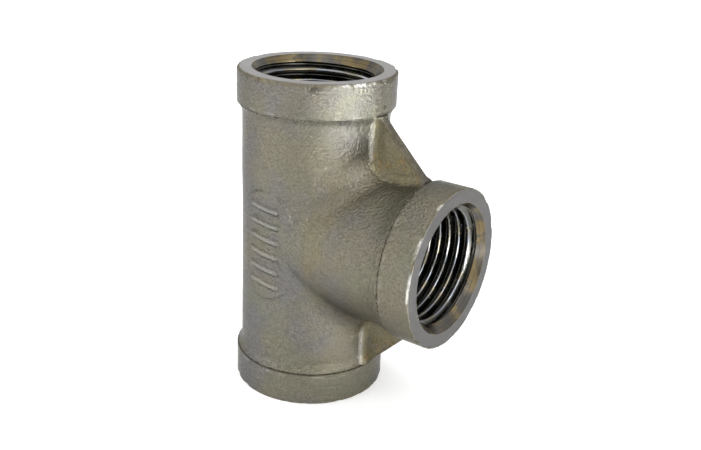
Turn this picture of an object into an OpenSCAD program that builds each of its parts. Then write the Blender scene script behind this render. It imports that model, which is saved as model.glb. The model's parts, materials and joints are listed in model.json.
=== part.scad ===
// Banded pipe tee with three female threaded ends, nominal size 1/2.
// Origin: centre of the run's lower end face. The run stands on +Z and the branch points along +X.
// The fitting is one casting. Each module below is a named region of it, and the regions meet face to face.

/* [Ends] */
// From the crossing of the two axes to each end face
centre_to_end = 28; // [26:0.5:32]
// Depth of each threaded socket
socket_depth = 13; // [10:0.5:14]
// Minor diameter of the female thread, across its crests
thread_minor_d = 18.631; // [18.4:0.001:18.8]
// Major diameter of the female thread, across its roots
thread_major_d = 20.955; // [20.8:0.001:21.1]
// Cast metal kept outside the roots in each thread region
thread_cover = 0.4; // [0.3:0.1:0.6]
// Diameter of the countersunk mouth at the end face
mouth_d = 21.6; // [21.2:0.1:21.6]
// Depth of the countersink
mouth_depth = 2.3; // [1:0.1:3]

/* [Barrels] */
// Outer diameter of the run's barrel
run_barrel_d = 24.8; // [24.2:0.1:25.6]
// Outer diameter of the branch's barrel
branch_barrel_d = 24.6; // [24:0.1:24.7]
// Cored waterway along the run
run_waterway_d = 19.2; // [19.1:0.1:20]
// Cored waterway along the branch
branch_waterway_d = 19; // [18.9:0.1:19]

/* [Bands] */
// Outer diameter of the band round each mouth
band_d = 26.6; // [26:0.1:29]
// Width of the two bands on the run, flare included
run_band_w = 7.5; // [5:0.1:8]
// Width of the band on the branch, flare included
branch_band_w = 7.5; // [5:0.1:8]
// Width of the flare from a band's rim down to its barrel
band_flare = 1.8; // [0.5:0.1:2]

/* [Webs] */
// Thickness of the two corner webs
web_t = 1.9; // [1:0.1:4]
// From the crossing of the axes, along either axis, to the line of a web's sloping edge
web_leg = 35.5; // [34.5:0.1:36]

/* [Marking pad] */
// Width of the pad on the run's barrel
pad_w = 10.3; // [8:0.1:12]
// Height of the pad
pad_h = 19.4; // [16:0.1:24]
// How far the pad stands out from the barrel
pad_rise = 0.3; // [0.2:0.1:0.5]
// How far the pad is turned round the run, away from the branch, in degrees
pad_turn = 2.5; // [0:0.5:8]
// Number of plain bars on the pad
bar_count = 6; // [3:1:6]
// Width of a bar
bar_w = 1.3; // [0.8:0.1:1.6]
// Length of a bar
bar_l = 6.4; // [4:0.1:7]
// Slant of the bars, in degrees
bar_slant = 6; // [0:1:20]
// How far the bars stand out from the pad
bar_rise = 0.4; // [0.2:0.1:0.5]

/* [Hidden] */
$fn = 96;

minor_r = thread_minor_d / 2;
thread_region_r = thread_major_d / 2 + thread_cover;
mouth_r = mouth_d / 2;
run_r = run_barrel_d / 2;
branch_r = branch_barrel_d / 2;
band_r = band_d / 2;
run_length = 2 * centre_to_end;
pad_r = run_r + pad_rise;
bar_pitch = (pad_h - pad_w / 3) / bar_count;

cast_colour = [0.55, 0.53, 0.48];
band_colour = [0.60, 0.59, 0.55];
web_colour = [0.52, 0.48, 0.36];
thread_colour = [0.72, 0.72, 0.71];

// --- Places: at an end, +Z points from the end face into the fitting ---

module at_bottom() {
    children();
}

module at_top() {
    translate([0, 0, run_length]) mirror([0, 0, 1]) children();
}

module at_branch() {
    translate([centre_to_end, 0, centre_to_end]) rotate([0, -90, 0]) children();
}

module at_crossing() {
    translate([0, 0, centre_to_end]) children();
}

// --- Shapes ---

// Ring of cast metal round one mouth, outside the thread region, with its flare on the inner side.
module band(width, barrel_r) {
    rotate_extrude() polygon([
        [thread_region_r, 0],
        [band_r, 0],
        [band_r, width - band_flare],
        [barrel_r, width],
        [thread_region_r, width]
    ]);
}

// The tapped metal of one socket: countersunk mouth, then a plain wall at the thread's minor diameter.
module socket_thread() {
    rotate_extrude() polygon([
        [mouth_r, 0],
        [thread_region_r, 0],
        [thread_region_r, socket_depth],
        [minor_r, socket_depth],
        [minor_r, mouth_depth]
    ]);
}

// Half of a barrel's wall, from the inner side of a band to the far end of its socket and on to the crossing.
module barrel_wall(band_w, barrel_r, waterway_r, length) {
    rotate_extrude() polygon([
        [thread_region_r, band_w],
        [barrel_r, band_w],
        [barrel_r, length],
        [waterway_r, length],
        [waterway_r, socket_depth],
        [thread_region_r, socket_depth]
    ]);
}

// A band's outer shape as a solid plug, to trim the webs with.
module band_plug(width, barrel_r) {
    cylinder(h = width - band_flare, r = band_r);
    translate([0, 0, width - band_flare]) cylinder(h = band_flare, r1 = band_r, r2 = barrel_r);
}

// Corner plate in the plane of both axes, between the run above the crossing and the branch.
module web() {
    difference() {
        rotate([90, 0, 0]) linear_extrude(height = web_t, center = true)
            polygon([[0, 0], [web_leg, 0], [0, web_leg]]);
        translate([0, 0, -1]) cylinder(h = web_leg + 2, r = run_r);
        rotate([0, 90, 0]) translate([0, 0, -1]) cylinder(h = web_leg + 2, r = branch_r);
        translate([0, 0, centre_to_end]) mirror([0, 0, 1]) band_plug(run_band_w, run_r);
        translate([centre_to_end, 0, 0]) rotate([0, -90, 0]) band_plug(branch_band_w, branch_r);
    }
}

// Outline with two straight sides and two round ends, upright on the page.
module stadium(width, height) {
    end_y = (height - width) / 2;
    square([width, height - width], center = true);
    translate([0, end_y]) circle(d = width);
    translate([0, -end_y]) circle(d = width);
}

// Skin between two radii round the run's axis.
module skin(inner_r, outer_r) {
    difference() {
        cylinder(h = pad_h + 2, r = outer_r, center = true);
        cylinder(h = pad_h + 4, r = inner_r, center = true);
    }
}

// Carries an outline on the page onto the run's -Y side.
module cut_from_skin(inner_r, outer_r) {
    intersection() {
        skin(inner_r, outer_r);
        rotate([90, 0, 0]) linear_extrude(height = outer_r + 1) children();
    }
}

// --- Regions of the casting ---

module run_barrel() {
    color(cast_colour) difference() {
        union() {
            at_bottom() barrel_wall(run_band_w, run_r, run_waterway_d / 2, centre_to_end);
            at_top() barrel_wall(run_band_w, run_r, run_waterway_d / 2, centre_to_end);
        }
        at_crossing() rotate([0, 90, 0]) cylinder(h = centre_to_end, d = branch_waterway_d);
    }
}

module branch_barrel() {
    color(cast_colour) difference() {
        at_branch() barrel_wall(branch_band_w, branch_r, branch_waterway_d / 2, centre_to_end);
        cylinder(h = run_length, r = run_r);
    }
}

module top_band() {
    color(band_colour) at_top() band(run_band_w, run_r);
}

module bottom_band() {
    color(band_colour) at_bottom() band(run_band_w, run_r);
}

module branch_band() {
    color(band_colour) at_branch() band(branch_band_w, branch_r);
}

module top_thread() {
    color(thread_colour) at_top() socket_thread();
}

module bottom_thread() {
    color(thread_colour) at_bottom() socket_thread();
}

module branch_thread() {
    color(thread_colour) at_branch() socket_thread();
}

module upper_web() {
    color(web_colour) at_crossing() web();
}

module lower_web() {
    color(web_colour) at_crossing() mirror([0, 0, 1]) web();
}

module marking_pad() {
    color(cast_colour) at_crossing() rotate(-pad_turn) {
        cut_from_skin(run_r, pad_r) stadium(pad_w, pad_h);
        for (i = [0 : bar_count - 1])
            cut_from_skin(pad_r, pad_r + bar_rise)
                translate([0, (i - (bar_count - 1) / 2) * bar_pitch])
                    rotate(90 - bar_slant)
                        stadium(bar_w, bar_l);
    }
}

run_barrel();
branch_barrel();
top_band();
bottom_band();
branch_band();
top_thread();
bottom_thread();
branch_thread();
upper_web();
lower_web();
marking_pad();
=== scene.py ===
"""Looks of a cast pipe tee round its CAD frame: blasted skin, turned faces and cut threads."""
import json
import math

import bpy
import numpy as np
from mathutils import Matrix, Quaternion, Vector


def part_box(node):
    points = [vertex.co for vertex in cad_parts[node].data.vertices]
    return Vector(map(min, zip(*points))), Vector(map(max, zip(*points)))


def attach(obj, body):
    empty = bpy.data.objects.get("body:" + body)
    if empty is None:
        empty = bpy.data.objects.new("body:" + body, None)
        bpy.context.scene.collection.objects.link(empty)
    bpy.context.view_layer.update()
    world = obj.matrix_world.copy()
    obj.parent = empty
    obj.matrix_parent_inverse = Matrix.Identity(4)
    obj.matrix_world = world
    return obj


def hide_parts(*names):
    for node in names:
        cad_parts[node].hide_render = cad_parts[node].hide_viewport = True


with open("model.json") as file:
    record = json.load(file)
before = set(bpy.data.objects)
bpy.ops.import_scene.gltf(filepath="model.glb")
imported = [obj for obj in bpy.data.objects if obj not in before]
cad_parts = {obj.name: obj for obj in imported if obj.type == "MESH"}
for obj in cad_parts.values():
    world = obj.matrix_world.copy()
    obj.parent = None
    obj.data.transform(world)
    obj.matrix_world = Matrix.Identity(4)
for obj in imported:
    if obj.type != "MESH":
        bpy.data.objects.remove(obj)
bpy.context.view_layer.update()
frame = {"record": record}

# --- Sizes, in millimetres. Those of the CAD regions are read from the frame. ---

MM = 0.001


def node_box(node):
    """Lowest and highest corner of a CAD node, in millimetres."""
    low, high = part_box(node)
    return np.array(low) / MM, np.array(high) / MM


def node_size(node):
    """Size of a CAD node along X, Y and Z, in millimetres."""
    low, high = node_box(node)
    return high - low


RUN_LENGTH = node_box("top_thread")[1][2]
CENTRE_TO_END = node_box("branch_thread")[1][0]
RUN_R = node_box("run_barrel")[1][1]
BRANCH_R = node_box("branch_barrel")[1][1]
BAND_R = node_box("top_band")[1][1]
SOCKET_R = node_box("top_thread")[1][1]
SOCKET_DEPTH = node_size("top_thread")[2]
RUN_BAND_W = node_size("top_band")[2]
BRANCH_BAND_W = node_size("branch_band")[0]
WEB_T = node_size("upper_web")[1]
PAD_W, _, PAD_H = node_size("marking_pad")
MINOR_R = next(m["dims"]["r_mm"] for m in frame["record"]["mounts"] if m["kind"] == "threaded_hole")
CROSSING = np.array([0, 0, RUN_LENGTH / 2])

# The thread: Whitworth form, 14 to the inch, as on a half-inch pipe.
PITCH = 25.4 / 14
THREAD_HALF_ANGLE = math.radians(27.5)
THREAD_ROUND = 0.137329 * PITCH
MAJOR_R = MINOR_R + 0.640327 * PITCH
MOUTH_R = 10.83          # countersink at the mouth
MOUTH_DEPTH = 2.3

# The casting.
WATERWAY_R = 9.6         # cored way behind the sockets, along the run
BRANCH_WATERWAY_R = 9.5
FLARE_W = 1.8            # where the run widens to meet its bands, along the axis
BRANCH_FLARE_W = 5.0     # the same on the branch, which widens more gently
FLARE_STEP = 0.2         # how far the flare stays below the band's rim
BARREL_BLEND = 4.4       # fillet between the two barrels
WEB_BLEND = 1.3          # fillet at the foot of a web
WEB_EDGE = 35.4          # where the line of a web's edge meets either axis, from the crossing
WEB_DRAFT = 0.05         # how much each side of a web widens per millimetre from its edge
WEB_ROUND = 0.15         # rounding along a web's edge
PAD_RISE = 0.28          # how far the marking pad stands out from the run
PAD_TURN = 2.5           # how far the pad is turned round the run, away from the branch, in degrees
BAR_RISE = 0.38          # how far its bars stand out from the pad
BAR_COUNT, BAR_W, BAR_L, BAR_SLANT = 6, 1.3, 6.4, 6
SEAM_ROUND = 0.15        # a band's corner at the hairline where the flare begins
WEB_FROM = 4             # where the webs begin, hidden inside the run, from its axis
SKIN_INSET = 0.06        # how far the barrels' relief is set in, so that none of it leaves the CAD box
BAND_INSET = 0.10        # the same for the bands
RIDGE_OUT = 1.75         # the faint ridge beside each web: its distance from the plane of the axes
RIDGE_W = 0.3            # half its width
RIDGE_RISE = 0.05        # its height
CUTTER_PAST = 2          # how far a cutter runs past the casting
GRID = 0.26              # spacing of the grid that the casting's mesh is drawn from
TURNS = 360              # segments round a turned or cast ring
ROWS_PER_PITCH = 20      # rows of points along each turn of the thread
CAST_CRISP = 38          # edges sharper than this many degrees stay crisp on cast metal
THREAD_CRISP = 32        # the same in the threads

# Width of the cylindrical part of each band, from the end face to the seam.
RUN_RIM = RUN_BAND_W - FLARE_W
BRANCH_RIM = BRANCH_BAND_W - FLARE_W


# --- Noise ---

def noise(points, size, seed):
    """Smooth noise from -1 to 1 with features about size across, the same each run."""
    cells = 32
    table = np.random.default_rng(seed).uniform(-1, 1, (cells, cells, cells))
    scaled = points / size + seed * 0.37
    whole = np.floor(scaled).astype(int)
    part = scaled - whole
    part = part * part * (3 - 2 * part)
    total = np.zeros(len(points))
    for corner in np.ndindex(2, 2, 2):
        weight = np.prod(np.where(corner, part, 1 - part), axis=1)
        i, j, k = ((whole + corner) % cells).T
        total += weight * table[i, j, k]
    return total


def cast_relief(points):
    """Height of the as-cast skin: slow waviness, then a blasted orange-peel grain, in millimetres."""
    wave = 0.05 * noise(points, 7.0, 1)
    peel = 0.012 * noise(points, 1.3, 2) + 0.014 * noise(points, 0.6, 3)
    return wave + peel


def named_marks(points):
    """Depth of the few single casting marks: a fold under the top rim and a small pit near its seam."""
    marks = [
        # angle from +X in degrees, height, half length round the rim, half height, depth
        (-57, 55.1, 0.45, 0.30, 0.30),
        (-53, 55.4, 0.90, 0.16, 0.22),
        (2, 51.6, 0.22, 0.18, 0.25),
    ]
    angle = np.degrees(np.arctan2(points[:, 1], points[:, 0]))
    total = np.zeros(len(points))
    for at, z, half_length, half_height, depth in marks:
        along = np.radians(angle - at) * BAND_R / half_length
        total += depth * np.exp(-along**2 - ((points[:, 2] - z) / half_height) ** 2)
    return total


def step_up(value, low, high):
    """0 below low, 1 above high, smooth between."""
    t = np.clip((value - low) / (high - low), 0, 1)
    return t * t * (3 - 2 * t)


# --- The casting's shape, as a distance field round the crossing of the axes ---

def fillet_union(a, b, cosine, radius):
    """Union of two distance fields with a rolled fillet. cosine is of the angle between their normals."""
    cosine = np.clip(cosine, -0.2, 0.985)
    da, db = radius - a, radius - b
    spread = 1 - cosine * cosine
    along_a, along_b = da - cosine * db, db - cosine * da
    from_centre = np.sqrt(np.maximum(da * da + db * db - 2 * cosine * da * db, 0) / spread)
    return np.where((along_a > 0) & (along_b > 0), radius - from_centre, np.minimum(a, b))


def stadium(u, v, width, height):
    """Distance to an upright outline with two straight sides and round ends."""
    v = np.maximum(np.abs(v) - (height - width) / 2, 0)
    return np.hypot(u, v) - width / 2


def pad_relief(x, y, z):
    """Height of the pad and its bars above the run's barrel."""
    turn = math.radians(PAD_TURN)
    front = y < 0
    x = x * math.cos(turn) - y * math.sin(turn)
    pad = step_up(-stadium(x, z, PAD_W, PAD_H), -0.05, 0.3) * PAD_RISE
    spacing = (PAD_H - PAD_W / 3) / BAR_COUNT
    slant = math.radians(90 - BAR_SLANT)
    bars = np.zeros_like(x)
    for i in range(BAR_COUNT):
        dz = z - (i - (BAR_COUNT - 1) / 2) * spacing
        across = x * math.cos(slant) + dz * math.sin(slant)
        along = -x * math.sin(slant) + dz * math.cos(slant)
        bars = np.maximum(bars, step_up(-stadium(across, along, BAR_W, BAR_L), -0.1, 0.42))
    return np.where(front, pad + bars * BAR_RISE, 0)


def web_field(x, y, z):
    """Both corner plates: the field, and how far a point is in from their sloping edge."""
    inward = (WEB_EDGE - x - np.abs(z)) / math.sqrt(2)
    side = np.abs(y) - WEB_T / 2 - WEB_DRAFT * np.maximum(inward, 0) + WEB_ROUND
    edge = WEB_ROUND - inward
    field = np.hypot(np.maximum(side, 0), np.maximum(edge, 0))
    return field + np.minimum(np.maximum(side, edge), 0) - WEB_ROUND, inward


def flare(out, barrel_r, from_end, width):
    """Distance to a barrel that widens to its band over this width. from_end is how far the rim still is."""
    t = np.clip(1 - from_end / width, 0, 1)
    rise = BAND_R - FLARE_STEP - barrel_r
    slope = 2 * t * rise / width
    return (out - barrel_r - rise * t * t) / np.sqrt(1 + slope * slope)


def casting_field(points):
    """Signed distance to the barrels, webs and pad, negative inside, in millimetres."""
    x, y, z = points.T
    run_out = np.hypot(x, y)
    branch_out = np.hypot(y, z)
    run = flare(run_out, RUN_R, CENTRE_TO_END - RUN_RIM - np.abs(z), FLARE_W) - pad_relief(x, y, z)
    branch = np.maximum(flare(branch_out, BRANCH_R, CENTRE_TO_END - BRANCH_RIM - x, BRANCH_FLARE_W), -x)
    cosine = y * y / np.maximum(run_out * branch_out, 1)
    barrels = fillet_union(run, branch, cosine, BARREL_BLEND)
    webs, _ = web_field(x, y, z)
    webs = np.maximum(webs, WEB_FROM - x)
    field = fillet_union(barrels, webs, np.abs(y) / RUN_R, WEB_BLEND)
    ends = np.maximum(np.abs(z) - CENTRE_TO_END + RUN_RIM, x - CENTRE_TO_END + BRANCH_RIM)
    return np.maximum(field, ends)


def ridge_line(x, y, z):
    """1 along the faint raised line where a mould insert met each barrel beside a web, 0 away from it."""
    aside = np.exp(-((np.abs(y) - RIDGE_OUT) / RIDGE_W) ** 2)
    on_run = step_up(x, RUN_R - 1.9, RUN_R - 0.9) * (1 - step_up(x, RUN_R + 0.2, RUN_R + 0.8))
    return aside * on_run * step_up(np.abs(z), BRANCH_R + 2.2, BRANCH_R + 4.2)


def gradient(field, points, step=0.02):
    """Unit normals of a field at these points."""
    out = np.empty_like(points)
    for axis in range(3):
        shift = np.zeros(3)
        shift[axis] = step
        out[:, axis] = field(points + shift) - field(points - shift)
    return out / np.maximum(np.linalg.norm(out, axis=1, keepdims=True), 1e-9)


def surface_net(field, low, high, step):
    """Closed quad mesh of a field's zero surface, one point per crossed grid cell."""
    axes = [np.arange(a, b + step, step) for a, b in zip(low, high)]
    shape = [len(a) for a in axes]
    values = np.empty(shape, np.float32)
    across = np.stack(np.meshgrid(axes[1], axes[2], indexing="ij"), -1).reshape(-1, 2)
    for i, x in enumerate(axes[0]):
        layer = np.column_stack([np.full(len(across), x), across])
        values[i] = field(layer).reshape(shape[1:])
    inside = values < 0
    count = np.zeros([n - 1 for n in shape], np.int8)
    for di, dj, dk in np.ndindex(2, 2, 2):
        count += inside[di:shape[0] - 1 + di, dj:shape[1] - 1 + dj, dk:shape[2] - 1 + dk]
    cells = np.argwhere((count > 0) & (count < 8))
    number = np.full(count.shape, -1)
    number[tuple(cells.T)] = np.arange(len(cells))

    total, hits = np.zeros((len(cells), 3)), np.zeros((len(cells), 1))
    for a in np.ndindex(2, 2, 2):
        for axis in range(3):
            if a[axis]:
                continue
            b = np.array(a)
            b[axis] = 1
            fa, fb = values[tuple((cells + a).T)], values[tuple((cells + b).T)]
            crossed = (fa < 0) != (fb < 0)
            share = np.where(crossed, fa / np.where(crossed, fa - fb, 1), 0)
            total += crossed[:, None] * (np.array(a) + share[:, None] * (b - a))
            hits += crossed[:, None]
    points = np.array(low) + step * (cells + total / hits)

    quads = []
    for axis in range(3):
        u, v = (axis + 1) % 3, (axis + 2) % 3
        first = np.take(inside, range(shape[axis] - 1), axis)
        second = np.take(inside, range(1, shape[axis]), axis)
        edges = np.argwhere(first != second)
        edges = edges[(edges[:, u] > 0) & (edges[:, v] > 0)]
        leaving = first[tuple(edges.T)]
        ring = []
        for du, dv in ((1, 1), (0, 1), (0, 0), (1, 0)):
            cell = edges.copy()
            cell[:, u] -= du
            cell[:, v] -= dv
            ring.append(number[tuple(cell.T)])
        ring = np.stack(ring, 1)
        quads.append(np.where(leaving[:, None], ring, ring[:, ::-1]))
    return points, np.concatenate(quads)


def settle(points, quads, field, rounds=3):
    """Evens the points out along the surface and puts them back on it."""
    for _ in range(rounds):
        middle, uses = np.zeros_like(points), np.zeros(len(points))
        centres = points[quads].mean(axis=1)
        for corner in range(4):
            np.add.at(middle, quads[:, corner], centres)
            np.add.at(uses, quads[:, corner], 1)
        middle /= uses[:, None]
        normals = gradient(field, points)
        move = middle - points
        move -= normals * (move * normals).sum(axis=1, keepdims=True)
        points = points + 0.5 * move
        points = points - gradient(field, points) * field(points)[:, None]
    return points


# --- Meshes ---

def signed_volume(points, faces):
    """Volume inside closed faces, negative if they are wound inwards."""
    total = 0.0
    for corners in (3, 4):
        index = np.array([f for f in faces if len(f) == corners], int).reshape(-1, corners)
        for second in range(1, corners - 1):
            a, b, c = points[index[:, 0]], points[index[:, second]], points[index[:, second + 1]]
            total += (a * np.cross(b, c)).sum() / 6
    return total


def make_mesh(name, points, faces, closed=True):
    """Object from points in millimetres and faces of three or four corners, wound outwards if closed."""
    points = np.asarray(points, float)
    if closed and signed_volume(points, faces) < 0:
        faces = [tuple(f)[::-1] for f in faces]
    mesh = bpy.data.meshes.new(name)
    mesh.from_pydata((points * MM).tolist(), [], [tuple(map(int, f)) for f in faces])
    mesh.update()
    piece = bpy.data.objects.new(name, mesh)
    bpy.context.scene.collection.objects.link(piece)
    return piece


def add_attribute(piece, name, values):
    """Per-point number that the materials read."""
    layer = piece.data.attributes.new(name, "FLOAT", "POINT")
    layer.data.foreach_set("value", np.asarray(values, np.float32))


def smooth(piece, angle):
    """Smooth shading, with edges sharper than the angle kept crisp."""
    piece.data.polygons.foreach_set("use_smooth", [True] * len(piece.data.polygons))
    piece.data.set_sharp_from_angle(angle=math.radians(angle))


def revolve(outline, closed=True):
    """Points and quads of an outline of (radius, depth) turned round the depth axis."""
    outline = np.array(outline)
    turn = np.arange(TURNS) * 2 * math.pi / TURNS
    radius, depth = outline[:, 0], outline[:, 1]
    points = np.stack([
        np.outer(np.cos(turn), radius),
        np.outer(np.sin(turn), radius),
        np.tile(depth, (TURNS, 1)),
    ], -1).reshape(-1, 3)
    rows = len(outline)
    quads = []
    for j in range(TURNS):
        here, there = j * rows, (j + 1) % TURNS * rows
        for i in range(rows if closed else rows - 1):
            k = (i + 1) % rows
            quads.append((here + i, here + k, there + k, there + i))
    return points, quads


def lathe_solid(name, outline):
    """Solid turned from an outline whose first and last points lie on the axis."""
    ring = outline[1:-1]
    points, quads = revolve(ring, closed=False)
    rows = len(ring)
    points = np.vstack([points, [0, 0, outline[0][1]], [0, 0, outline[-1][1]]])
    start, end = len(points) - 2, len(points) - 1
    for j in range(TURNS):
        here, there = j * rows, (j + 1) % TURNS * rows
        quads.append((start, here, there))
        quads.append((end, there + rows - 1, here + rows - 1))
    return make_mesh(name, points, quads)


# --- The three ends: depth runs from the face into the fitting ---

def end_matrix(name):
    """Turns an end's own frame, with +Z going in at the mouth, into the part's frame, in millimetres."""
    if name == "top":
        turn = Matrix.Rotation(math.pi, 4, "X")
        place = Matrix.Translation((0, 0, RUN_LENGTH))
    elif name == "bottom":
        turn = Matrix.Identity(4)
        place = Matrix.Identity(4)
    else:
        turn = Matrix.Rotation(-math.pi / 2, 4, "Y")
        place = Matrix.Translation((CENTRE_TO_END, 0, RUN_LENGTH / 2))
    return place @ turn


def end_matrix_m(name):
    """The same turn and place for points in metres."""
    return Matrix.Scale(MM, 4) @ end_matrix(name) @ Matrix.Scale(1 / MM, 4)


def to_part(points, name):
    """Points of an end's own frame, placed in the part's frame."""
    matrix = np.array(end_matrix(name))
    return points @ matrix[:3, :3].T + matrix[:3, 3]


def band_outline(width, round_r):
    """Section of a band: turned face, outer corner, rim, corner at the seam and the hidden inner sides."""
    face = [(r, 0.0) for r in np.linspace(SOCKET_R, BAND_R - round_r, 12)]
    corner = [
        (BAND_R - round_r + round_r * math.sin(a), round_r - round_r * math.cos(a))
        for a in np.linspace(0, math.pi / 2, 7)[1:]
    ]
    rim = [(BAND_R, d) for d in np.linspace(round_r, width - SEAM_ROUND, 26)[1:]]
    seam = [
        (BAND_R - SEAM_ROUND + SEAM_ROUND * math.cos(a), width - SEAM_ROUND + SEAM_ROUND * math.sin(a))
        for a in np.linspace(0, math.pi / 2, 6)[1:]
    ]
    inner = [(SOCKET_R, width), (SOCKET_R, width / 2)]
    return face + corner + rim + seam + inner


def make_band(name, width, round_r, wear):
    """Cast band round a mouth, with its turned face. wear lists where its rim is knocked bright."""
    local, quads = revolve(band_outline(width, round_r))
    radius, depth = np.hypot(local[:, 0], local[:, 1]), local[:, 2].copy()
    outward = local * [1, 1, 0] / radius[:, None]
    place = to_part(local, name)
    skin = step_up(radius, BAND_R - 0.6, BAND_R - 0.3) * step_up(depth, 0.02, round_r)
    corner = step_up(radius, BAND_R - 1.5 * round_r, BAND_R) * (1 - step_up(depth, 0.1, 0.3 + round_r))
    # The dark line where the band meets the flare: partly dirt in the joint, partly painted shade in the
    # crease.
    seam = step_up(depth, width - 0.25, width - 0.05) * step_up(noise(place, 4.0, 16), -0.7, 0.3)
    chips = np.maximum(noise(place, 1.6, 11) - 0.1, 0) * 0.30
    chips = chips + np.maximum(noise(place, 0.7, 12) - 0.2, 0) * 0.16
    turn = np.degrees(np.arctan2(local[:, 1], local[:, 0]))
    knocked = np.zeros(len(local))
    for at, half_angle, depth_lost in wear:
        here = np.exp(-((turn - at) / half_angle) ** 4) * step_up(noise(place, 0.8, 19), -0.5, 0.2)
        knocked = np.maximum(knocked, here)
        chips = chips + depth_lost * here
    lip = np.maximum(noise(place, 1.1, 15), 0) * 0.05 * step_up(depth, width - 0.7, width - 0.2)
    dents = named_marks(place)
    height = (cast_relief(place) - BAND_INSET - lip - dents) * skin - chips * corner
    local = local + outward * height[:, None]
    local[:, 2] += chips * corner * 0.6
    piece = make_mesh(name + "_band_cast", to_part(local, name), quads)
    bright = corner * step_up(noise(place, 0.9, 13), 0.1, 0.5) * step_up(noise(place, 9.0, 17), 0.2, 0.5)
    bright = np.maximum(0.7 * bright, corner * knocked)
    shelf = step_up(depth, width - 0.8, width - 0.5) * (1 - step_up(depth, width - 0.4, width - 0.2))
    shelf = shelf * step_up(noise(place, 1.3, 14), 0.15, 0.6)
    add_attribute(piece, "wear_and_sheen", np.clip(bright + 0.15 * shelf, 0, 1))
    add_attribute(piece, "tint", min(1, 1.6 * round_r) * corner * (1 - bright))
    add_attribute(piece, "grime_and_shade", np.clip(seam + 5 * dents, 0, 1))
    smooth(piece, CAST_CRISP)
    piece.data.materials.append(cast_material)
    piece.data.materials.append(face_material(name))
    turned = np.array([max(depth[i] for i in face) < 0.001 for face in quads])
    piece.data.polygons.foreach_set("material_index", turned.astype(int))
    return piece


def thread_radius(turn, depth, start):
    """Radius of the cut socket: the thread's form, opened by the countersink at the mouth."""
    phase = (depth - start - PITCH * turn / (2 * math.pi)) / PITCH
    away = np.abs(phase - np.round(phase)) * PITCH
    tangent = THREAD_ROUND * math.cos(THREAD_HALF_ANGLE)
    rise = THREAD_ROUND * (1 - math.sin(THREAD_HALF_ANGLE))
    flank = MINOR_R + rise + (away - tangent) / math.tan(THREAD_HALF_ANGLE)
    crest = MINOR_R + THREAD_ROUND - np.sqrt(np.maximum(THREAD_ROUND**2 - np.minimum(away, tangent) ** 2, 0))
    from_root = np.minimum(PITCH / 2 - away, tangent)
    root = MAJOR_R - THREAD_ROUND + np.sqrt(np.maximum(THREAD_ROUND**2 - from_root**2, 0))
    form = np.where(away < tangent, crest, np.where(PITCH / 2 - away < tangent, root, flank))
    mouth = MOUTH_R - (MOUTH_R - MINOR_R) * depth / MOUTH_DEPTH
    return np.maximum(form, mouth)


def make_thread(name, start):
    """Tapped socket. Its rows of points follow the helix, so those one turn on are the same rows again."""
    row_step = PITCH / ROWS_PER_PITCH
    rows = int(SOCKET_DEPTH / row_step) + ROWS_PER_PITCH + 2
    turn = np.arange(TURNS) * 2 * math.pi / TURNS
    raw = -PITCH + row_step * np.arange(rows)[:, None] + PITCH * turn[None, :] / (2 * math.pi)
    first = (raw <= 0).sum(axis=0) - 1
    last = (raw < SOCKET_DEPTH).sum(axis=0)
    points = []
    number = np.full((rows + ROWS_PER_PITCH, TURNS), -1)
    for j in range(TURNS):
        depth = np.clip(raw[first[j]:last[j] + 1, j], 0, SOCKET_DEPTH)
        radius = thread_radius(turn[j], depth, start)
        base = len(points)
        points += [(r * math.cos(turn[j]), r * math.sin(turn[j]), d) for r, d in zip(radius, depth)]
        span = np.clip(np.arange(rows + ROWS_PER_PITCH), first[j], last[j]) - first[j]
        number[:, j] = base + span
    faces = []
    for j in range(TURNS):
        k = (j + 1) % TURNS
        shift = ROWS_PER_PITCH if k == 0 else 0
        for i in range(rows - 1):
            ring = (number[i, j], number[i + shift, k], number[i + 1 + shift, k], number[i + 1, j])
            ring = list(dict.fromkeys(ring))
            if len(ring) > 2:
                faces.append(ring)
    lips = [(number[0, j], number[-1, j]) for j in range(TURNS)]
    outer = len(points)
    for depth in (0, SOCKET_DEPTH):
        points += [(SOCKET_R * math.cos(a), SOCKET_R * math.sin(a), depth) for a in turn]
    for j in range(TURNS):
        k = (j + 1) % TURNS
        faces.append((lips[j][0], outer + j, outer + k, lips[k][0]))
        faces.append((outer + j, outer + TURNS + j, outer + TURNS + k, outer + k))
        faces.append((outer + TURNS + j, lips[j][1], lips[k][1], outer + TURNS + k))
    local = np.array(points)
    piece = make_mesh(name + "_thread_cut", to_part(local, name), faces)
    smooth(piece, THREAD_CRISP)
    piece.data.materials.append(thread_material(name))
    return piece


def cut(piece, cutter):
    """Takes the cutter's volume out of the piece and removes the cutter."""
    boolean = piece.modifiers.new("cut", "BOOLEAN")
    boolean.operation = "DIFFERENCE"
    boolean.solver = "EXACT"
    boolean.object = cutter
    bpy.context.view_layer.objects.active = piece
    bpy.ops.object.modifier_apply(modifier=boolean.name)
    bpy.data.objects.remove(cutter)


def bore_casting(piece):
    """Takes the waterways and the three sockets out of the casting."""
    outline = [(0, -CUTTER_PAST), (SOCKET_R, -CUTTER_PAST), (SOCKET_R, SOCKET_DEPTH)]
    outline += [(WATERWAY_R, SOCKET_DEPTH), (WATERWAY_R, RUN_LENGTH - SOCKET_DEPTH)]
    outline += [(SOCKET_R, RUN_LENGTH - SOCKET_DEPTH)]
    outline += [(SOCKET_R, RUN_LENGTH + CUTTER_PAST), (0, RUN_LENGTH + CUTTER_PAST)]
    cut(piece, lathe_solid("run_core", outline))
    outline = [(0, -CUTTER_PAST), (SOCKET_R, -CUTTER_PAST), (SOCKET_R, SOCKET_DEPTH)]
    outline += [(BRANCH_WATERWAY_R, SOCKET_DEPTH), (BRANCH_WATERWAY_R, CENTRE_TO_END), (0, CENTRE_TO_END)]
    branch_core = lathe_solid("branch_core", outline)
    branch_core.data.transform(end_matrix_m("branch"))
    cut(piece, branch_core)


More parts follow.
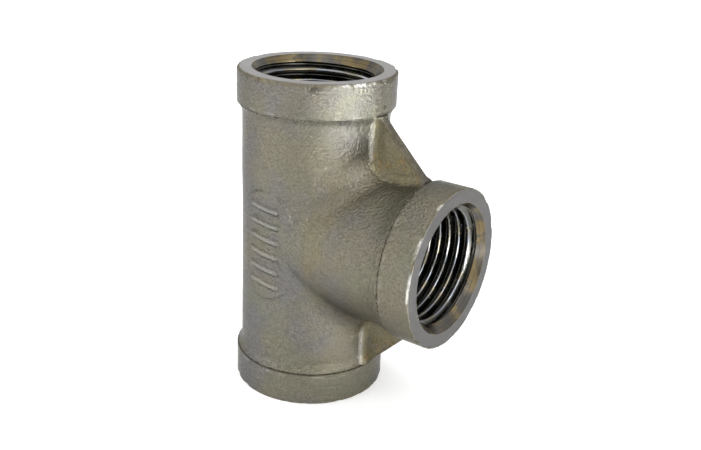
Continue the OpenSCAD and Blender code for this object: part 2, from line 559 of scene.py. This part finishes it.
def mark_casting(piece, points, world, to_end):
    """Numbers that the cast material reads: where the skin is tinted; where it is knocked bright, with a
    painted highlight along the ridges; and where it is darker: at the seams, partly dirt and partly painted
    shade in the crease, along the webs' edges and round the feet of the bars.
    """
    x, y, z = points.T
    _, inward = web_field(x, y, z)
    from_run = np.abs(np.hypot(x, y) - RUN_R)
    from_branch = np.abs(np.hypot(y, z) - BRANCH_R)
    pocket = (1 - step_up(np.abs(y), 1.5, 2.6)) * step_up(x, RUN_R - 0.3, RUN_R + 0.5)
    pocket = pocket * step_up(np.abs(z), BRANCH_R - 0.5, BRANCH_R + 0.7)
    edge = pocket * (1 - step_up(inward, 0.0, 0.35))
    valley = (1 - step_up(from_run + from_branch, 2.0, 6.0)) * step_up(x, 5, 9)
    olive = np.maximum(pocket * (1 - edge), 0.45 * valley)
    add_attribute(piece, "tint", np.clip(olive, 0, 1))
    bars = pad_relief(x, y, z)
    top = step_up(bars, PAD_RISE + 0.5 * BAR_RISE, PAD_RISE + BAR_RISE) * 0.12
    # Bright wear on the tops of the bars, and a painted highlight along each ridge line.
    add_attribute(piece, "wear_and_sheen", np.clip(top + 0.3 * ridge_line(x, y, z), 0, 1))
    # The dark line at the seam with each band: partly dirt in the joint, partly painted shade in the crease.
    seam = (1 - step_up(to_end, 0.0, 0.18)) * step_up(noise(world, 4.0, 16), -0.7, 0.3)
    arris = pocket * (1 - step_up(inward, 0.25, 0.6)) * step_up(noise(world, 0.8, 18), -0.5, 0.3)
    # Darker round the foot of each bar.
    foot = step_up(bars, PAD_RISE + 0.02, PAD_RISE + 0.1)
    foot = foot * (1 - step_up(bars, PAD_RISE + 0.12, PAD_RISE + 0.3))
    add_attribute(piece, "grime_and_shade", np.clip(seam + 0.6 * arris + 0.35 * foot, 0, 1))


def make_casting():
    """Barrels, flares, webs and pad in one skin, bored by the waterway and the sockets."""
    reach = BAND_R + 3 * GRID
    run_end = CENTRE_TO_END - RUN_RIM
    branch_end = CENTRE_TO_END - BRANCH_RIM
    low = (-reach, -reach, -run_end - 3 * GRID)
    high = (branch_end + 3 * GRID, reach, run_end + 3 * GRID)
    points, quads = surface_net(casting_field, low, high, GRID)
    points = settle(points, quads, casting_field)
    normals = gradient(casting_field, points)
    x, y, z = points.T
    to_end = np.minimum(run_end - np.abs(z), branch_end - x)
    calm = step_up(to_end, 0.0, 0.3) * (0.2 + 0.8 * step_up(to_end, 0.6, 3.0))
    world = points + CROSSING
    height = (cast_relief(world) - SKIN_INSET) * calm + RIDGE_RISE * ridge_line(x, y, z)
    moved = world + normals * height[:, None]
    piece = make_mesh("cast_body", moved, quads)
    mark_casting(piece, points, world, to_end)
    bore_casting(piece)
    smooth(piece, CAST_CRISP)
    piece.data.materials.append(cast_material)
    return piece


# --- Materials ---

class Nodes:
    """Short calls for building one material's nodes. All sizes are in metres."""

    def __init__(self, name):
        self.material = bpy.data.materials.new(name)
        self.material.use_nodes = True
        self.tree = self.material.node_tree
        self.shader = self.tree.nodes["Principled BSDF"]
        self.place = self.add("ShaderNodeTexCoord").outputs["Object"]

    def add(self, kind, **settings):
        node = self.tree.nodes.new(kind)
        for key, value in settings.items():
            setattr(node, key, value)
        return node

    def set(self, socket, value):
        if isinstance(value, bpy.types.NodeSocket):
            self.tree.links.new(value, socket)
        else:
            socket.default_value = value

    def noise(self, size, detail=2.0, rough=0.5):
        """Noise from 0 to 1 with features about size metres across."""
        node = self.add("ShaderNodeTexNoise")
        self.set(node.inputs["Vector"], self.place)
        self.set(node.inputs["Scale"], 1 / size)
        self.set(node.inputs["Detail"], detail)
        self.set(node.inputs["Roughness"], rough)
        return node.outputs["Fac"]

    def ramp(self, value, low, high, to_low=0.0, to_high=1.0):
        node = self.add("ShaderNodeMapRange", interpolation_type="SMOOTHSTEP")
        self.set(node.inputs["Value"], value)
        self.set(node.inputs["From Min"], low)
        self.set(node.inputs["From Max"], high)
        self.set(node.inputs["To Min"], to_low)
        self.set(node.inputs["To Max"], to_high)
        return node.outputs["Result"]

    def math(self, operation, a, b=0.0):
        node = self.add("ShaderNodeMath", operation=operation)
        self.set(node.inputs[0], a)
        self.set(node.inputs[1], b)
        return node.outputs[0]

    def mix(self, share, a, b, blend="MIX"):
        node = self.add("ShaderNodeMix", data_type="RGBA", blend_type=blend)
        self.set(node.inputs["Factor"], share)
        self.set(node.inputs["A"], a)
        self.set(node.inputs["B"], b)
        return node.outputs["Result"]

    def attribute(self, name):
        """One of the numbers that add_attribute stored on the mesh."""
        return self.add("ShaderNodeAttribute", attribute_name=name).outputs["Fac"]

    def bump(self, height, distance, strength=1.0, under=None):
        node = self.add("ShaderNodeBump")
        self.set(node.inputs["Height"], height)
        self.set(node.inputs["Distance"], distance)
        self.set(node.inputs["Strength"], strength)
        if under is not None:
            self.set(node.inputs["Normal"], under)
        return node.outputs["Normal"]


def colour(r, g, b):
    return (r, g, b, 1.0)


def make_cast_material():
    """Blasted stainless: lumpy satin skin, gold and green clouds, olive hollows, seams darkened partly by
    dirt and partly by painted shade, bright wear, and a painted highlight along the ridges.
    """
    n = Nodes("cast_stainless")
    tint = n.attribute("tint")
    wear_and_sheen = n.attribute("wear_and_sheen")
    grime_and_shade = n.attribute("grime_and_shade")
    split = n.add("ShaderNodeSeparateXYZ")
    n.set(split.inputs[0], n.place)
    on_branch = n.ramp(split.outputs["X"], 0.011, 0.018, 0.0, 0.16)
    gold_cloud = n.ramp(n.math("ADD", n.noise(0.013, 3.0, 0.55), on_branch), 0.38, 0.62)
    green_cloud = n.ramp(n.noise(0.009, 3.0, 0.6), 0.48, 0.68, 0.0, 0.7)
    lumps = n.noise(0.0007, 2.0, 0.5)
    grain = n.noise(0.00036, 2.0, 0.6)
    base = n.mix(gold_cloud, colour(0.138, 0.133, 0.126), colour(0.154, 0.141, 0.104))
    base = n.mix(green_cloud, base, colour(0.147, 0.146, 0.106))
    olive_share = n.math("MULTIPLY", tint, n.ramp(n.noise(0.0022, 3.0, 0.6), 0.3, 0.65, 0.35, 1.0))
    base = n.mix(olive_share, base, colour(0.150, 0.132, 0.078))
    rust_share = n.math("MULTIPLY", tint, n.ramp(n.noise(0.0016, 2.0, 0.5), 0.58, 0.7, 0.0, 0.5))
    base = n.mix(rust_share, base, colour(0.21, 0.14, 0.06))
    value = n.math("ADD", n.ramp(grain, 0.3, 0.7, 0.80, 1.20), n.ramp(lumps, 0.3, 0.7, -0.04, 0.04))
    grey = n.add("ShaderNodeCombineColor")
    for channel in ("Red", "Green", "Blue"):
        n.set(grey.inputs[channel], value)
    base = n.mix(1.0, base, grey.outputs["Color"], blend="MULTIPLY")
    pits = n.ramp(n.noise(0.0006, 1.0, 0.5), 0.68, 0.74, 0.0, 0.35)
    base = n.mix(pits, base, colour(0.06, 0.05, 0.035))
    # Bright wear on knocked edges and bar tops, plus a painted highlight along the ridge lines.
    base = n.mix(n.math("MULTIPLY", wear_and_sheen, 0.85), base, colour(0.72, 0.71, 0.68))
    # Darkening at the seams, partly dirt and partly painted shade in the crease; also at the casting marks,
    # the webs' edges and the bars' feet.
    base = n.mix(n.math("MULTIPLY", grime_and_shade, 0.6), base, colour(0.045, 0.035, 0.025))
    n.set(n.shader.inputs["Base Color"], base)
    n.shader.inputs["Metallic"].default_value = 0.85
    n.shader.inputs["Specular Tint"].default_value = colour(0.55, 0.55, 0.57)
    rough = n.math("SUBTRACT", n.ramp(gold_cloud, 0.0, 1.0, 0.28, 0.24), n.math("MULTIPLY", wear_and_sheen, 0.12))
    rough = n.math("ADD", rough, n.math("MULTIPLY", grime_and_shade, 0.3))
    rough = n.math("ADD", rough, n.math("MULTIPLY", tint, 0.15))
    rough = n.math("ADD", rough, n.math("MULTIPLY", on_branch, 0.4))
    n.set(n.shader.inputs["Roughness"], rough)
    fine = n.bump(grain, 0.00021, n.ramp(tint, 0.0, 1.0, 1.0, 0.6))
    n.set(n.shader.inputs["Normal"], n.bump(lumps, 0.00009, 0.8, fine))
    return n.material


def along_axis(n, name):
    """Radius and depth from an end's own axis, in metres, inside a material."""
    inverse = end_matrix_m(name).inverted()
    mapping = n.add("ShaderNodeMapping", vector_type="POINT")
    n.set(mapping.inputs["Vector"], n.place)
    mapping.inputs["Location"].default_value = inverse.to_translation()
    mapping.inputs["Rotation"].default_value = inverse.to_euler("XYZ")
    split = n.add("ShaderNodeSeparateXYZ")
    n.set(split.inputs[0], mapping.outputs[0])
    x, y, depth = split.outputs
    radius = n.math("SQRT", n.math("ADD", n.math("MULTIPLY", x, x), n.math("MULTIPLY", y, y)))
    return radius, depth


def tool_rings(n, along, spacing):
    """Noise in one direction only, for the rings that a turning tool leaves."""
    rings = n.add("ShaderNodeTexNoise", noise_dimensions="1D")
    n.set(rings.inputs["W"], along)
    rings.inputs["Scale"].default_value = 1 / spacing
    rings.inputs["Detail"].default_value = 1.0
    return rings.outputs["Fac"]


def face_material(name):
    """Flat turned face: satin grey, with faint rings left by the tool and gold along parts of its edge."""
    n = Nodes("turned_face_" + name)
    radius, _ = along_axis(n, name)
    rings = tool_rings(n, radius, 0.00011)
    cloud = n.noise(0.004, 3.0, 0.55)
    # Painted shade: the branch's face has the same turned finish as the others, but it gets a much darker
    # colour because it lies in less light.
    tone = 0.078 if name == "branch" else 0.30
    dull = colour(tone, tone * 0.975, tone * 0.95)
    clear = colour(tone * 1.12, tone * 1.10, tone * 1.08)
    base = n.mix(n.ramp(cloud, 0.3, 0.7), dull, clear)
    speck = n.ramp(n.noise(0.0006, 2.0, 0.5), 0.64, 0.74, 0.0, 0.4)
    base = n.mix(speck, base, colour(tone * 0.6, tone * 0.54, tone * 0.42))
    outer = n.ramp(radius, (BAND_R - 0.9) * MM, (BAND_R - 0.25) * MM)
    golden = n.math("MULTIPLY", outer, n.ramp(n.noise(0.0035, 2.0, 0.5), 0.45, 0.65, 0.0, 0.75))
    base = n.mix(golden, base, colour(tone * 0.62, tone * 0.52, tone * 0.34))
    n.set(n.shader.inputs["Base Color"], base)
    n.shader.inputs["Metallic"].default_value = 1.0
    n.set(n.shader.inputs["Roughness"], n.ramp(cloud, 0.3, 0.7, 0.38, 0.47))
    fine = n.bump(n.noise(0.00035, 2.0, 0.5), 0.00003, 0.7)
    n.set(n.shader.inputs["Normal"], n.bump(rings, 0.000012, 0.7, fine))
    return n.material


def thread_material(name):
    """Cut socket: streaked grey-brown countersink, clean grey crests, flanks and roots darkened partly by
    oil and partly by painted shade.
    """
    n = Nodes("cut_thread_" + name)
    radius, depth = along_axis(n, name)
    rings = tool_rings(n, depth, 0.00014)
    coarse_rings = tool_rings(n, depth, 0.0005)
    cone_r = n.math("SUBTRACT", MOUTH_R * MM, n.math("MULTIPLY", depth, (MOUTH_R - MINOR_R) / MOUTH_DEPTH))
    above_cone = n.math("SUBTRACT", radius, cone_r)
    in_groove = n.ramp(above_cone, 0.00002, 0.00010)
    off_crest = n.ramp(radius, (MINOR_R + 0.10) * MM, (MINOR_R + 0.40) * MM)
    # Flanks and roots painted dark: partly oil, partly painted shade deep in the grooves.
    dark = n.math("MULTIPLY", off_crest, in_groove)
    stain = n.ramp(n.noise(0.0035, 3.0, 0.6), 0.40, 0.62)
    cone = n.mix(stain, colour(0.095, 0.09, 0.082), colour(0.17, 0.133, 0.07))
    cone = n.mix(n.ramp(coarse_rings, 0.55, 0.7, 0.0, 0.5), cone, colour(0.05, 0.045, 0.035))
    crest = n.mix(stain, colour(0.19, 0.205, 0.23), colour(0.21, 0.185, 0.13))
    inside = n.ramp(depth, 1.6 * MM, 2.3 * MM)
    bright = n.mix(inside, cone, crest)
    base = n.mix(dark, bright, colour(0.08, 0.08, 0.07))
    n.set(n.shader.inputs["Base Color"], base)
    n.shader.inputs["Metallic"].default_value = 1.0
    n.set(n.shader.inputs["Roughness"], n.ramp(stain, 0.0, 1.0, 0.20, 0.30))
    n.set(n.shader.inputs["Normal"], n.bump(rings, 0.000014, 0.9))
    return n.material


def make_floor_material():
    """Plain pale floor, lit a little from within so that shadows stay faint."""
    n = Nodes("pale_floor")
    base = n.mix(n.noise(0.05, 3.0, 0.5), colour(0.89, 0.89, 0.89), colour(0.91, 0.91, 0.91))
    n.set(n.shader.inputs["Base Color"], base)
    n.shader.inputs["Roughness"].default_value = 0.9
    n.shader.inputs["Specular IOR Level"].default_value = 0.1
    n.shader.inputs["Emission Color"].default_value = colour(1, 1, 1)
    n.shader.inputs["Emission Strength"].default_value = 0.18
    return n.material


# --- Stage ---

# The camera: angles in degrees, distance to what it aims at in metres, focal length in millimetres.
VIEW_AZIMUTH, VIEW_ELEVATION, VIEW_ROLL = 34.77, 21.64, 2.63
VIEW_DISTANCE = 0.1534
VIEW_LENS = 46.49
VIEW_AIM = Vector((7.9, 0, RUN_LENGTH / 2 + 2.2)) * MM
POOL_HEIGHT = 1.0        # of the spots over the floor, in metres
FLOOR_HALF = 3000        # half the floor's side, in millimetres


def direction(azimuth, elevation):
    """Unit vector towards a viewer. Azimuth 0 is in front, on -Y."""
    a, e = math.radians(azimuth), math.radians(elevation)
    return Vector((math.sin(a) * math.cos(e), -math.cos(a) * math.cos(e), math.sin(e)))


def make_camera():
    """Camera at the view's angle, rolled a little about its own axis."""
    data = bpy.data.cameras.new("camera")
    data.lens = VIEW_LENS
    data.sensor_width = 36
    data.clip_start = 0.01
    camera = bpy.data.objects.new("camera", data)
    bpy.context.scene.collection.objects.link(camera)
    back = direction(VIEW_AZIMUTH, VIEW_ELEVATION)
    camera.location = VIEW_AIM + back * VIEW_DISTANCE
    camera.rotation_mode = "QUATERNION"
    roll = Quaternion((0, 0, 1), math.radians(VIEW_ROLL))
    camera.rotation_quaternion = (-back).to_track_quat("-Z", "Y") @ roll
    bpy.context.scene.camera = camera


def make_lamp(name, azimuth, elevation, distance, size, power):
    """Soft rectangular lamp aimed at the part."""
    data = bpy.data.lights.new(name, "AREA")
    data.shape = "RECTANGLE"
    data.size, data.size_y = size
    data.energy = power
    lamp = bpy.data.objects.new(name, data)
    bpy.context.scene.collection.objects.link(lamp)
    back = direction(azimuth, elevation)
    lamp.location = VIEW_AIM + back * distance
    lamp.rotation_mode = "QUATERNION"
    lamp.rotation_quaternion = (-back).to_track_quat("-Z", "Y")


def make_pool(name, azimuth, reach, half_width, power):
    """Soft spot that brightens the floor only, at a distance from the part, for its walls to reflect."""
    data = bpy.data.lights.new(name, "SPOT")
    data.energy = power
    data.spot_size = math.radians(2 * half_width)
    data.spot_blend = 1.0
    data.shadow_soft_size = 0.02
    lamp = bpy.data.objects.new(name, data)
    bpy.context.scene.collection.objects.link(lamp)
    spot = direction(azimuth, 0) * reach
    lamp.location = (spot.x, spot.y, POOL_HEIGHT)


def make_world():
    """Studio light from all round: dimmer near and below the horizon, a little brighter to the right."""
    world = bpy.data.worlds.new("studio")
    bpy.context.scene.world = world
    world.use_nodes = True
    tree = world.node_tree
    background = tree.nodes["Background"]
    background.inputs["Color"].default_value = colour(1, 1, 1)
    place = tree.nodes.new("ShaderNodeTexCoord").outputs["Generated"]
    split = tree.nodes.new("ShaderNodeSeparateXYZ")
    level = tree.nodes.new("ShaderNodeMapRange")
    level.interpolation_type = "SMOOTHSTEP"
    for name, value in {"From Min": -0.1, "From Max": 0.4, "To Min": 0.5, "To Max": 1.0}.items():
        level.inputs[name].default_value = value
    side = tree.nodes.new("ShaderNodeVectorMath")
    side.operation = "DOT_PRODUCT"
    side.inputs[1].default_value = direction(60, 0) * 0.08
    total = tree.nodes.new("ShaderNodeMath")
    tree.links.new(place, split.inputs[0])
    tree.links.new(place, side.inputs[0])
    tree.links.new(split.outputs["Z"], level.inputs["Value"])
    tree.links.new(level.outputs["Result"], total.inputs[0])
    tree.links.new(side.outputs["Value"], total.inputs[1])
    tree.links.new(total.outputs[0], background.inputs["Strength"])


def make_stage():
    """Floor, lamps and surroundings."""
    corners = [(x * FLOOR_HALF, y * FLOOR_HALF, 0) for x, y in ((-1, -1), (1, -1), (1, 1), (-1, 1))]
    floor = make_mesh("floor", corners, [(0, 1, 2, 3)], closed=False)
    floor.data.materials.append(make_floor_material())
    make_lamp("overhead", 0, 82, 2.5, (2.6, 2.6), 24)
    make_lamp("right", 76, 24, 2.0, (0.8, 1.0), 12)
    make_lamp("high_right", 94, 33, 2.0, (0.5, 0.5), 6)
    make_lamp("back", 250, 40, 2.0, (0.8, 0.8), 5)
    make_lamp("front", -32, 15, 2.0, (0.5, 1.2), 7)
    make_pool("pool_right", 84, 0.13, 3.2, 1700)
    make_pool("pool_front", -38, 0.13, 2.8, 80)
    make_world()
    bpy.context.scene.view_settings.view_transform = "Standard"


cast_material = make_cast_material()
make_camera()
make_stage()

casting = make_casting()
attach(casting, "root")
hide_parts("run_barrel", "branch_barrel", "upper_web", "lower_web", "marking_pad")

# Each end: its rim's width, the rounding of its outer corner, where the thread starts, and the knocks
# on the rim as (degrees round, half angle, depth lost).
ENDS = {
    "top": (RUN_RIM, 0.5, 1.45, [(26, 12, 0.05)]),
    "bottom": (RUN_RIM, 0.35, 1.45, []),
    "branch": (BRANCH_RIM, 0.22, 2.2, [(-25, 3, 0.3), (-57, 7, 0.2), (-86, 12, 0.08)]),
}
for end, (width, round_r, thread_start, wear) in ENDS.items():
    band = make_band(end, width, round_r, wear)
    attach(band, "root")
    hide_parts(end + "_band")
    thread = make_thread(end, thread_start)
    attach(thread, "root")
    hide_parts(end + "_thread")
